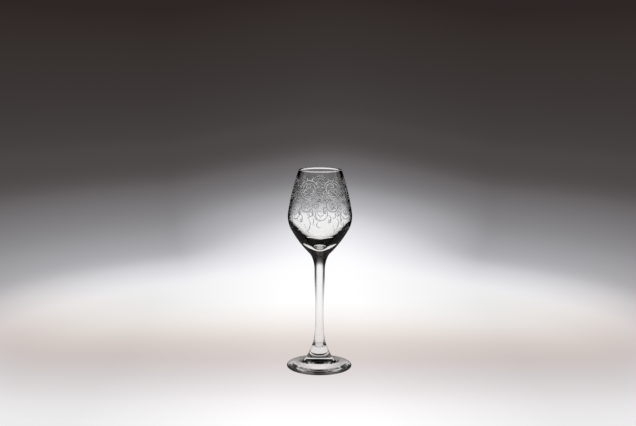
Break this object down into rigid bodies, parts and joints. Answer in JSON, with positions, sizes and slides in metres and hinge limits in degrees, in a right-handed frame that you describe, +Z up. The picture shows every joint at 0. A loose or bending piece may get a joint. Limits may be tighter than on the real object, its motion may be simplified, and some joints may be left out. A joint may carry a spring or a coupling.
{
  "type": "cordial glass",
  "caption": "Clear cordial glass with a tulip bowl etched with scrollwork, a slender waisted stem and a round spread foot, for sipping liqueurs.",
  "frame": {"origin": "centre of the circle that the foot stands on, at table height", "axes": "+Z up along the glass's axis of revolution; +Y away from the picture's viewer; the body is a surface of revolution, so X and Y differ only in the etched scrollwork"},
  "size_m": [0.0562, 0.0562, 0.172],
  "materials": {
    "clear_glass": "fire-polished clear soda-lime glass, the bowl's scrollwork etched matt"
  },
  "bodies": {
    "root": {"bowl": "clear_glass", "stem": "clear_glass", "foot": "clear_glass"}
  },
  "joints": []
}
